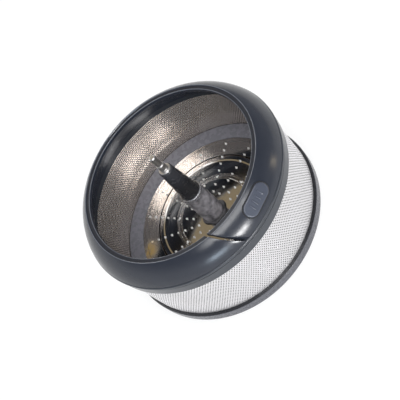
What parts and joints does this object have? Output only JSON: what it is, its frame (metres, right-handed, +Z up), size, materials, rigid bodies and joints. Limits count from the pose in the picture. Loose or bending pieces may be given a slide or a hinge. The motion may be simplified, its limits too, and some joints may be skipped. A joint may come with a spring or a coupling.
{
  "type": "juicer mesh screen",
  "caption": "Filter basket of a centrifugal juicer: perforated steel drum with a toothed grater disc, a central spindle, a plastic base and a split domed retaining ring.",
  "frame": {"origin": "centre of the base's underside, on the spin axis", "axes": "+Z up along the spin axis towards the spindle's tip; -Y towards the outer end of the retaining ring's slit"},
  "size_m": [0.1524, 0.1524, 0.0939],
  "materials": {
    "charcoal_plastic": "gloss",
    "grey_plastic": "satin",
    "hub_plastic": "satin",
    "sleeve_plastic": "gloss",
    "mesh_steel": "perforated",
    "disc_steel": "polished",
    "shaft_steel": "polished"
  },
  "bodies": {
    "root": {"base": "grey_plastic", "mesh_screen": "mesh_steel", "grater_disc": "disc_steel", "hub": "hub_plastic", "spindle_sleeve": "sleeve_plastic", "sleeve_washer": "shaft_steel", "spindle_shaft": "shaft_steel", "upper_rim": "grey_plastic", "retaining_ring": "charcoal_plastic"}
  },
  "joints": []
}
